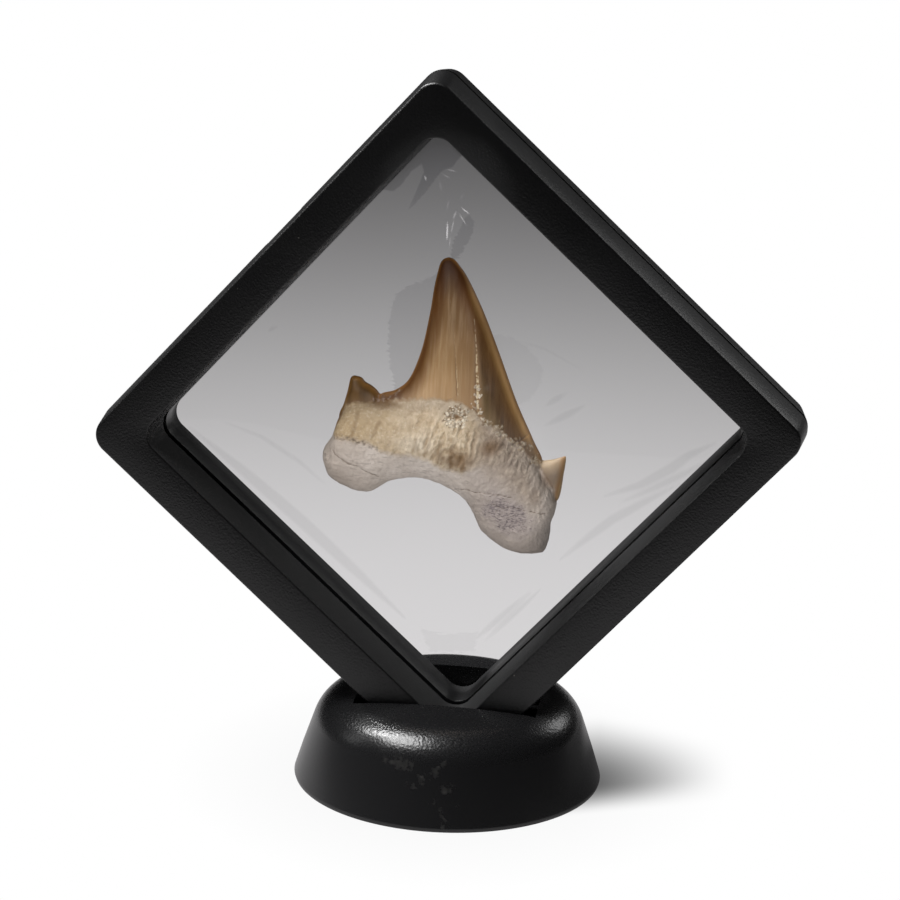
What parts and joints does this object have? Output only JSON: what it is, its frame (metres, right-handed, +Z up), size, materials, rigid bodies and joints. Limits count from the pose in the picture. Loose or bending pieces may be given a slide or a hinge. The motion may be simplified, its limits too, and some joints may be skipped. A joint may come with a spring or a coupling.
{
  "type": "fossil otodus tooth in a display frame",
  "caption": "Fossil shark tooth with side cusps and a lobed root, held between clear films in a square black frame standing on one corner in a round base.",
  "frame": {"origin": "middle of the base's flat underside, on the base's own axis", "axes": "+Z up, -Y is the display side that the tooth's convex face looks to, +X to the viewer's right"},
  "size_m": [0.124, 0.055, 0.1262],
  "materials": {
    "base": "satin, fine moulded grain",
    "frame": "matt, fine moulded grain",
    "film": "clear, slightly wrinkled",
    "tooth": "polished enamel over dull root"
  },
  "bodies": {
    "root": {"base": "base", "frame_front": "frame", "frame_rear": "frame", "film_front": "film", "film_rear": "film", "tooth": "tooth"}
  },
  "joints": []
}
